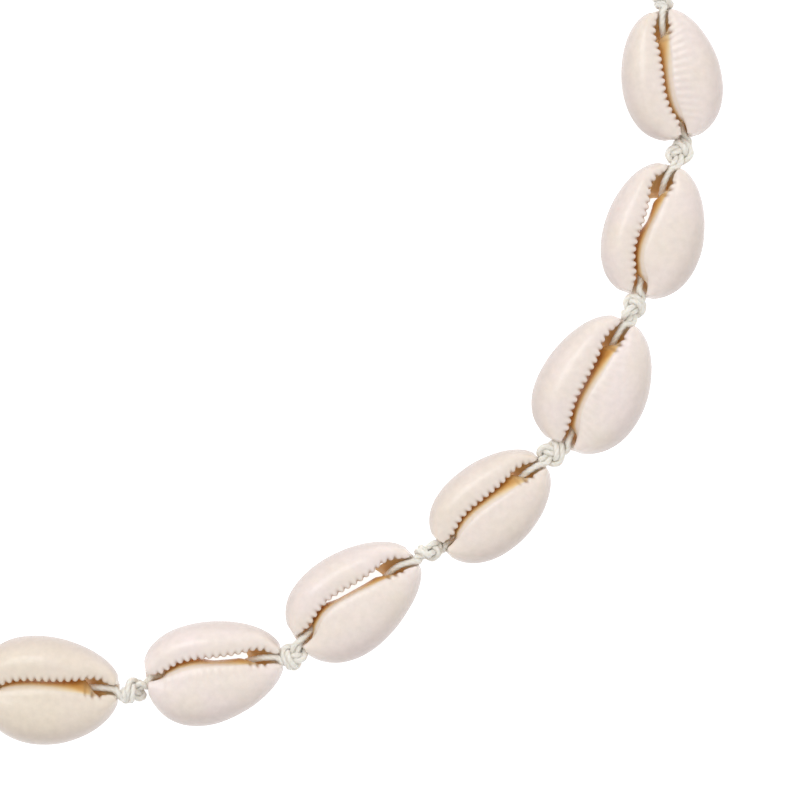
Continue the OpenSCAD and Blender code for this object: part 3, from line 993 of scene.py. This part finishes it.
        # the points carry the painted rim shade, and the mouth's brown with its painted shade
        piece = mesh_object(
            f"cowrie_{self.number:02d}", self.loop.placed(self.number, flat[:, :3]),
            faces=faces.tolist(), values={
                "inside": flat[:, 3], "tooth_weight": flat[:, 4], "ridge_weight": flat[:, 5],
                "margin": flat[:, 6], "along_lip": flat[:, 7] * MM,
                "free": (high > self.wave_from) * np.minimum(1, high / self.wave_full),
                "tint": np.full(len(flat), self.shape.ivory)})
        teeth.apply(piece, {
            "Shell": glaze, "Tooth Pitch": self.tooth_pitch * MM,
            "Tooth Depth": self.tooth_depth * MM,
            "Ridge Height": self.ridge_height * self.shape.ridges * MM,
            "Wave Height": self.wave_height * MM, "Wave Size": self.wave_size * MM,
            "Seed": float(self.number)})
        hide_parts(self.name)
        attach(piece, BODY)
        return piece


# The cord

class TwistedStrand(ModifierTree):
    """The Geometry Nodes tree that carries a three-ply thread along lines of edges."""

    NAME = "twisted strand"
    MATERIAL = "Thread"
    SIZES = ("Strand Diameter", "Plies", "Ply Depth", "Turn Length")
    SIDES = 12
    SUMS = (
        ("tilt", "DIVIDE", "run", "Turn Length"), ("tilt", "MULTIPLY", "tilt", math.tau),
        ("radius", "MULTIPLY", "Strand Diameter", 0.5),
        ("around", "ARCTAN2", "Y", "X"), ("around", "MULTIPLY", "around", "Plies"),
        ("groove", "COSINE", "around"), ("groove", "MULTIPLY_ADD", "groove", 0.5, 0.5),
        ("dip", "MULTIPLY", "groove", "Ply Depth"), ("lobes", "SUBTRACT", 1.0, "dip"))

    def form(self, known: dict[str, bpy.types.NodeSocket]) -> bpy.types.NodeSocket:
        """Sweeps a section with a lobe for each ply along the lines and turns it on the way.

        Args:
            known: the tree's inputs by name.

        Returns:
            The strands.
        """
        tree = self.tree
        place = add_node(tree, "GeometryNodeInputPosition").outputs[0]
        parts = add_node(tree, "ShaderNodeSeparateXYZ", {0: place}).outputs
        run = add_node(tree, "GeometryNodeSplineParameter").outputs["Length"]
        known.update({"X": parts["X"], "Y": parts["Y"], "run": run})
        self.work_out(known)
        line = add_node(tree, "GeometryNodeMeshToCurve", {"Mesh": known["Geometry"]})
        girth = add_node(tree, "GeometryNodeInputNamedAttribute", {"Name": "girth"},
                         data_type="FLOAT")
        sized = add_node(tree, "GeometryNodeSetCurveRadius", {
            "Curve": line.outputs[0], "Radius": girth.outputs["Attribute"]})
        turned = add_node(tree, "GeometryNodeSetCurveTilt", {
            "Curve": sized.outputs[0], "Tilt": known["tilt"]})
        circle = add_node(tree, "GeometryNodeCurvePrimitiveCircle", {
            "Resolution": self.SIDES, "Radius": known["radius"]})
        shrunk = add_node(tree, "ShaderNodeVectorMath", {
            0: place, "Scale": known["lobes"]}, operation="SCALE")
        lobed = add_node(tree, "GeometryNodeSetPosition", {
            "Geometry": circle.outputs[0], "Position": shrunk.outputs[0]})
        noted = add_node(tree, "GeometryNodeStoreNamedAttribute", {
            "Geometry": lobed.outputs[0], "Name": "groove", "Value": known["groove"]},
            data_type="FLOAT", domain="POINT")
        return add_node(tree, "GeometryNodeCurveToMesh", {
            "Curve": turned.outputs[0], "Profile Curve": noted.outputs[0], "Fill Caps": True,
            "Scale": add_node(tree, "GeometryNodeInputRadius").outputs[0]}).outputs[0]


@dataclass(frozen=True)
class OverhandKnot:
    """An overhand knot in two parallel strands, tied loosely by formula and then pulled tight.

    Its unit is one strand's diameter. The cord comes and goes along X, one strand over the other.
    """

    core_points: int = 400   # of the loose knot's own line
    lead_points: int = 60    # of each of its ends
    points: int = 72         # along each strand
    size: float = 1.5        # of the loose knot
    lift: float = 0.8        # height of its crossings over and under the middle
    lead: float = 8.0        # half length of the loose piece of cord
    rounds: int = 330
    passes: int = 3          # of pushing, stretching and bending in each round
    near: float = 1.2        # length of strand whose points don't push each other
    give: float = 0.45       # share of a stretch that each end takes back in a pass
    bend: float = 0.08       # stiffness
    pull: float = 0.03       # how far the ends are pulled in each pass
    held: int = 3            # points at each end that are led back beside the axis
    lead_back: float = 0.2   # how much of the way in each pass
    fastest: float = 0.1     # the furthest that a point may go in a pass
    shrink: float = 0.997    # how much the cord slips through in each round
    spacing: float = 0.4     # of the points in the end
    half_core: float = 2.5   # half length of the tight knot
    wide: float = 0.8        # its points are at least this far from the axis
    ease: float = 0.9        # how far inside its end the cord starts to ease to the axis
    half_length: float = 3.1  # half length of the piece that is kept

    # Where the loose knot's line passes over itself (1) and under itself (-1)
    CROSSINGS = ((-2.12, 0), (-1.93, -1), (-1.732, 1), (-0.518, -1), (0.518, 1), (1.732, -1),
                 (1.93, 1), (2.12, 0))

    def loose(self) -> tuple[np.ndarray, float]:
        """Lays the loose knot: an open trefoil with its ends led out along X.

        Returns:
            The evenly spaced middle line and the distance between its points.
        """
        t = np.linspace(self.CROSSINGS[0][0], self.CROSSINGS[-1][0], self.core_points)
        z = smooth_lookup(t, [(at, self.lift * way) for at, way in self.CROSSINGS])
        core = np.stack([(t ** 3 - 3 * t) * self.size, (t ** 4 - 4 * t ** 2 + 1.5) * self.size, z],
                        axis=1)
        f = np.linspace(0, 1, self.lead_points)[:, None]
        leads = []
        for side, start, before in ((-1, core[0], core[1]), (1, core[-1], core[-2])):
            away = (start - before) / np.linalg.norm(start - before)
            far, out = np.array([side * self.lead, 0, 0]), np.array([side, 0, 0])
            leads.append(between(f, np.linalg.norm(far - start), start, far, away, out))
        path = np.concatenate([leads[0][:0:-1], core, leads[1][1:]])
        run = distances(path)
        even = np.linspace(0, run[-1], self.points)
        line = np.stack([np.interp(even, run, path[:, i]) for i in range(3)], axis=1)
        return line, run[-1] / (self.points - 1)

    def doubled(self, line: np.ndarray) -> np.ndarray:
        """Lays two strands beside a line, flat in the knot and one over the other at its ends.

        Args:
            line: the line's points.

        Returns:
            2 x points x 3, the two strands.
        """
        along = np.gradient(line, axis=0)
        along /= np.linalg.norm(along, axis=1)[:, None]
        beside = np.cross([0, 0, 1], along)
        beside /= np.linalg.norm(beside, axis=1)[:, None]
        share = np.abs(np.linspace(-1, 1, self.points))
        turn = math.pi / 2 * smooth_lookup(share, ((0.72, 0), (0.97, 1)))[:, None]
        apart = (np.cos(turn) * beside + np.sin(turn) * np.cross(along, beside)) / 2
        return np.stack([line + apart, line - apart])

    def tight(self) -> np.ndarray:
        """Pulls the knot tight: strands push each other apart while the cord slips through.

        Returns:
            2 x points x 3, the two strands.
        """
        line, rest = self.loose()
        strands = self.doubled(line)
        n = self.points
        number = np.arange(2 * n)
        same = (number[:, None] // n) == (number[None, :] // n)
        steps = np.abs(number[:, None] - number[None, :])
        ends = np.array([[[0, 0.5]], [[0, -0.5]]])  # one strand over the other
        for _ in range(self.rounds):
            apart = ~(same & (steps <= math.ceil(self.near / rest)))
            for _ in range(self.passes):
                before = strands
                p = strands.reshape(-1, 3)
                way = p[:, None] - p[None, :]
                distance = np.sqrt((way ** 2).sum(axis=2)) + TINY
                short = np.clip(1 - distance, 0, None) * apart
                push = (way * (short / distance / 2)[:, :, None]).sum(axis=1)
                crowd = np.maximum((short > 0).sum(axis=1), 1)
                q = (p + push / np.sqrt(crowd)[:, None]).reshape(2, n, 3)
                edge = np.diff(q, axis=1)
                long = np.linalg.norm(edge, axis=2, keepdims=True)
                slack = edge / long * (long - rest) * self.give
                move = np.zeros_like(q)
                move[:, :-1] += slack
                move[:, 1:] -= slack
                move[:, 1:-1] += ((q[:, :-2] + q[:, 2:]) / 2 - q[:, 1:-1]) * self.bend
                q = q + move
                q[:, 0, 0] -= self.pull
                q[:, -1, 0] += self.pull
                for tail in (slice(0, self.held), slice(n - self.held, n)):
                    q[:, tail, 1:] = mix(q[:, tail, 1:], ends, self.lead_back)
                step = q - before
                pace = np.maximum(np.linalg.norm(step, axis=2, keepdims=True), TINY)
                strands = before + step * np.minimum(1, self.fastest / pace)
            rest = max(rest * self.shrink, self.spacing)
        return self.centred(strands)

    def centred(self, strands: np.ndarray) -> np.ndarray:
        """Moves the knot's core to the axis, eases its ends to it and cuts them to length.

        Args:
            strands: the two strands of the tight knot.

        Returns:
            The same strands, centred and cut.
        """
        core = np.abs(strands[:, :, 0] - strands[:, :, 0].mean()) < self.half_core
        body = strands[core & (np.linalg.norm(strands[:, :, 1:], axis=2) > self.wide)]
        middle = (body.max(axis=0) + body.min(axis=0)) / 2
        strands = strands - [middle[0], 0, 0]
        share = smooth_lookup(np.abs(strands[:, :, 0]), ((self.half_core - self.ease, 1),
                                                         (self.half_length, 0)))
        strands[:, :, 1:] -= share[:, :, None] * middle[1:]
        half = self.points // 2
        start = np.argmin(strands[:, :half, 0] < -self.half_length, axis=1).max()
        stop = half + np.argmax(strands[:, half:, 0] > self.half_length, axis=1).min()
        return strands[:, start:stop]


@dataclass
class WaxedCord:
    """The doubled cord through all the shells, knotted between them, into the clasp."""

    loop: Loop
    strand_d: float = 0.88
    plies: float = 3.0
    ply_depth: float = 0.1        # of the grooves, as a share of the strand's radius
    turn_length: float = 2.6
    ring_spacing: float = 0.25
    cad_strand: float = 0.75      # the CAD cord's own strands
    clear: float = 0.2            # air between them and a channel's floor
    low: float = 1.2              # height of the pair's middle under the mouth
    knot_strand: float = 0.74     # how tight a knot presses its strands
    knot_girth: float = 0.92      # their thickness there, as a share
    knot_clear: float = 0.3       # cord between a knot's last point and the run it joins
    knot_play: float = 0.5        # how much more than its gap a knot may take up
    wide_gap: float = 2.9         # a shorter gap squeezes its knot along the cord
    tightest: float = 0.8
    roll_step: int = 67           # by which the knots that aren't seen are rolled on
    end_knot: float = 3.2
    clasp_length: float = 12.0
    clasp_d: float = 4.0
    bore_depth: float = 2.5
    socket_gap: float = 0.5
    socket_exit: float = 0.3

    # Route through a shell: [t, share of the mouth's bow, share of the rise to the channel]
    ROUTE = ((1.02, 0, 1), (0.93, 0.6, 1), (0.76, 0.8, 1), (0.56, 0.45, 0.45), (0.4, 0.1, 0.12),
             (0.2, -0.1, 0), (-0.25, 0, 0), (-0.55, 0.7, 0.3), (-0.76, 1, 0.7), (-0.9, 1, 1),
             (-1.02, 0, 1))
    # Bare cord from the clasp to an end knot: [share of the way, height, turn of the pair]
    BARE = ((0.15, 1.35, 0), (0.35, 0.6, 0), (0.65, 0.6, 0), (0.85, 1.2, 30), (1, 2.1, 90))
    # The knots that the photograph shows: [how far each lies outside the line between its
    # shells, how far it is rolled about the cord in degrees]
    KNOTS = ((0.2, 20), (0.2, -40), (-0.3, 5), (-0.2, -75), (0.7, 175), (0.8, 150))
    # How much of its roll a knot has: [share of its half length, share of the roll]
    ROLLED = ((0.55, 1), (1.15, 0))

    def pair(self, point: np.ndarray, heading: float, turn: float) -> np.ndarray:
        """Lays the two strands beside a point of the pair's own line.

        Args:
            point: the point.
            heading: the line's direction, in degrees.
            turn: how far the strands are turned from side by side, in degrees.

        Returns:
            The strands' two middles.
        """
        level, rise = direction(turn)
        apart = np.append(level * right_of(direction(heading)), rise) * self.strand_d / 2
        return np.array([point + apart, point - apart])

    def shell_run(self, n: int) -> list[np.ndarray]:
        """Leads the strands through a shell, from its front end to its back.

        Args:
            n: the shell's number.

        Returns:
            The pairs of places.
        """
        shell = CowrieShell(n, self.loop)
        out = []
        for t, bow, rise in self.ROUTE:
            floor = HIGH_FLOOR if t > 0 else shell.shape.back_floor
            level = mix(self.low, floor + self.clear + self.cad_strand, rise)
            middle = [bow * shell.mouth_mid(t), t * shell.shape.length / 2, level]
            place = self.loop.placed(n, np.array([middle]))[0]
            out.append(self.pair(place, self.loop.place(n).heading + 180, 90))
        return out

    def knot_run(self, knot: np.ndarray, before: np.ndarray, after: np.ndarray, out: float,
                 roll: float) -> np.ndarray:
        """Puts a knot between two runs of cord, midway between their ends.

        Args:
            knot: the tight knot.
            before: the run that the cord comes from.
            after: the run that it goes on with.
            out: how far the knot lies outside the line between them.
            roll: how far it is rolled about the cord, in degrees.

        Returns:
            points x 2 x 3, cut short of the last pair but one of each run.
        """
        start, stop = before[-1].mean(axis=0), after[0].mean(axis=0)
        middle = (start + stop) / 2
        gap = np.linalg.norm(stop - start)
        room = min(np.linalg.norm(before[-2].mean(axis=0) - middle),
                   np.linalg.norm(after[1].mean(axis=0) - middle)) - self.knot_clear
        outwards = middle * [1, 1, 0] - np.append(self.loop.centre, 0)
        middle = middle + out * outwards / np.linalg.norm(outwards)
        ahead = (stop - start) / gap
        aside = np.cross([0, 0, 1], ahead)
        aside /= np.linalg.norm(aside)
        up = np.cross(ahead, aside)
        squeeze = min(1, max(self.tightest, (gap + self.knot_play) / self.wide_gap))
        scaled = knot * self.knot_strand * [squeeze, 1, 1]
        scaled = scaled[:, np.abs(scaled[:, :, 0]).max(axis=0) < room]
        run = scaled[:, :, 0]
        full = OverhandKnot.half_core * self.knot_strand
        lean = np.radians(roll) * smooth_lookup(
            np.abs(run), [(share * full, rolled) for share, rolled in self.ROLLED])
        y = scaled[:, :, 1] * np.cos(lean) - scaled[:, :, 2] * np.sin(lean)
        z = scaled[:, :, 1] * np.sin(lean) + scaled[:, :, 2] * np.cos(lean)
        placed = middle + run[:, :, None] * ahead + y[:, :, None] * aside + z[:, :, None] * up
        return placed.transpose(1, 0, 2)

    def bare_run(self, side: int) -> list[np.ndarray]:
        """Leads the strands from the clasp's socket to an end knot.

        Args:
            side: 1 towards shell 1, -1 towards the last one.

        Returns:
            The pairs of places.
        """
        loop, angle = self.loop, self.loop.clasp_angle
        n = 1 if side > 0 else loop.shells
        turn = math.degrees((loop.shape(n).length / 2 + self.end_knot) / loop.radius)
        stop = loop.place(n).angle + side * turn + (0 if side > 0 else 360)
        start = angle - side * math.degrees(self.clasp_length / 2 / loop.radius)
        out = []
        for along in (self.clasp_length / 2 - self.bore_depth + self.socket_gap,
                      self.clasp_length / 2 + self.socket_exit):
            place = loop.point(angle) + side * along * right_of(direction(angle))
            out.append(self.pair(np.append(place, self.clasp_d / 2), angle - 90, 0))
        for share, height, lie in self.BARE:
            at = mix(start, stop, share)
            out.append(self.pair(np.append(loop.point(at), height), at - 90, lie))
        return out

    def strands(self) -> tuple[np.ndarray, np.ndarray]:
        """Strings everything together.

        Returns:
            points x 2 x 3, and for each point how much of it is in a knot.
        """
        tied = OverhandKnot().tight()
        plain = ([self.bare_run(1)]
                 + [self.shell_run(n) for n in range(1, self.loop.shells + 1)]
                 + [self.bare_run(-1)[::-1]])
        seen = dict(enumerate(self.KNOTS, self.loop.first_seen))
        runs, knots = [], []
        for n, (before, after) in enumerate(zip(plain, plain[1:])):
            out, roll = seen.get(n, (0, self.roll_step * n % 360))
            knot = self.knot_run(tied, before, after, out, roll)
            straight = np.array(before[1 if n else 0:-1])
            runs += [straight, knot]
            knots += [np.zeros(len(straight)), np.ones(len(knot))]
        rest = np.array(plain[-1][1:])
        return np.concatenate(runs + [rest]), np.concatenate(knots + [np.zeros(len(rest))])

    def build(self, sweep: TwistedStrand, wax: bpy.types.Material) -> bpy.types.Object:
        """Builds the cord and lets it stand for its CAD node.

        Args:
            sweep: the tree that twists the plies.
            wax: the cord's material.

        Returns:
            The finished piece.
        """
        places, knots = self.strands()
        lines, girths, edges = [], [], []
        for path in places.swapaxes(0, 1):
            run = distances(path)
            even = np.linspace(0, run[-1], int(run[-1] / self.ring_spacing))
            start = sum(len(line) for line in lines)
            lines.append(smooth_line(path, run, even))
            girths.append(mix(1, self.knot_girth, np.interp(even, run, knots)))
            edges += [(start + i, start + i + 1) for i in range(len(even) - 1)]
        piece = mesh_object("waxed_cord", np.concatenate(lines), edges,
                            values={"girth": np.concatenate(girths)})
        sweep.apply(piece, {
            "Thread": wax, "Strand Diameter": self.strand_d * MM, "Plies": self.plies,
            "Ply Depth": self.ply_depth, "Turn Length": self.turn_length * MM})
        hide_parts("cord")
        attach(piece, BODY)
        return piece


@dataclass
class BarrelClasp:
    """The plain screw clasp. Its CAD solid has the right shape and only needs its metal."""

    name: str = "clasp"

    def dress(self, brass: bpy.types.Material) -> bpy.types.Object:
        """Gives the CAD node its metal.

        Args:
            brass: the metal.

        Returns:
            The CAD node.
        """
        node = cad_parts[self.name]
        node.data.materials.clear()
        node.data.materials.append(brass)
        return node


@dataclass
class Studio:
    """The white ground, the soft lights and the camera straight above."""

    width_mm: float = 104.0     # what the picture shows from side to side
    centre: tuple[float, float] = (44.2, -41.2)  # its middle, from the loop's centre
    lens_mm: float = 200.0
    sensor_mm: float = 36.0
    mouth_m: float = 0.004      # height of the shells' mouths, where that width holds
    floor_m: float = 6.0
    floor_gap: float = 0.01     # air between the floor and the shells
    key_watts: float = 6.0
    key_size: float = 0.9
    key_place: tuple[float, float, float] = (-0.5, 0.5, 1.5)
    sky: float = 0.76
    sky_slope: float = 0.28   # how much brighter the sky is towards the picture's top
    sky_side: float = 0.1     # and towards its right, as a share of that

    def floor(self) -> None:
        """Lays the white ground under the necklace."""
        half = self.floor_m / 2 / MM
        corners = np.array([[-half, -half, 0], [half, -half, 0], [half, half, 0], [-half, half, 0]])
        ground = mesh_object("white_sweep", corners - [0, 0, self.floor_gap], faces=[[0, 1, 2, 3]])
        ground.data.materials.append(WhiteSweep().material())

    def lights(self) -> None:
        """Hangs one large soft light at the upper left and fills the rest with a pale sky."""
        lamp = bpy.data.lights.new("key", "AREA")
        lamp.shape = "DISK"
        lamp.size = self.key_size
        lamp.energy = self.key_watts
        key = bpy.data.objects.new("key", lamp)
        key.location = self.key_place
        x, y, z = self.key_place
        tilt = math.atan2(math.hypot(x, y), z)
        key.rotation_euler = Euler((tilt, 0, math.atan2(-y, -x) - math.pi / 2))
        key.visible_camera = False
        bpy.context.scene.collection.objects.link(key)
        world = bpy.data.worlds.new("pale sky")
        world.use_nodes = True
        tree = world.node_tree
        tree.nodes.clear()
        toward = add_node(tree, "ShaderNodeVectorMath", {
            0: add_node(tree, "ShaderNodeTexCoord").outputs["Generated"],
            1: (self.sky_side * self.sky_slope, self.sky_slope, 0)}, operation="DOT_PRODUCT")
        strength = add_node(tree, "ShaderNodeMath", {
            0: toward.outputs["Value"], 1: self.sky, 2: self.sky}, operation="MULTIPLY_ADD")
        back = add_node(tree, "ShaderNodeBackground", {
            "Color": srgb("#FFFFFF"), "Strength": strength.outputs[0]})
        add_node(tree, "ShaderNodeOutputWorld", {"Surface": back.outputs[0]})
        bpy.context.scene.world = world

    def camera(self, loop: Loop) -> None:
        """Sets the camera straight above the part of the loop that the picture shows.

        Args:
            loop: the loop.
        """
        lens = bpy.data.cameras.new("above")
        lens.sensor_width = self.sensor_mm
        lens.lens = self.lens_mm
        lens.clip_start, lens.clip_end = 0.01, 20
        above = bpy.data.objects.new("above", lens)
        x, y = (loop.centre + self.centre) * MM
        above.location = (x, y, self.width_mm * self.lens_mm / self.sensor_mm * MM + self.mouth_m)
        bpy.context.scene.collection.objects.link(above)
        bpy.context.scene.camera = above


def main() -> None:
    """Builds the necklace and its studio and reports each piece."""
    logging.basicConfig(level=logging.INFO, format="%(message)s")
    bpy.context.scene.view_settings.view_transform = "Standard"
    loop = Loop()
    studio = Studio()
    studio.floor()
    studio.lights()
    studio.camera(loop)
    teeth = LipTeeth()
    glaze = GlazedShell().material()
    for n in range(1, loop.shells + 1):
        piece = CowrieShell(n, loop).build(teeth, glaze)
        LOG.info("%s: %d faces", piece.name, len(piece.data.polygons))
    cord = WaxedCord(loop).build(TwistedStrand(), WaxedCotton().material())
    LOG.info("%s: %d faces", cord.name, len(cord.data.polygons))
    clasp = BarrelClasp().dress(TurnedBrass().material())
    LOG.info("%s: dressed", clasp.name)


if __name__ == "__main__":
    main()
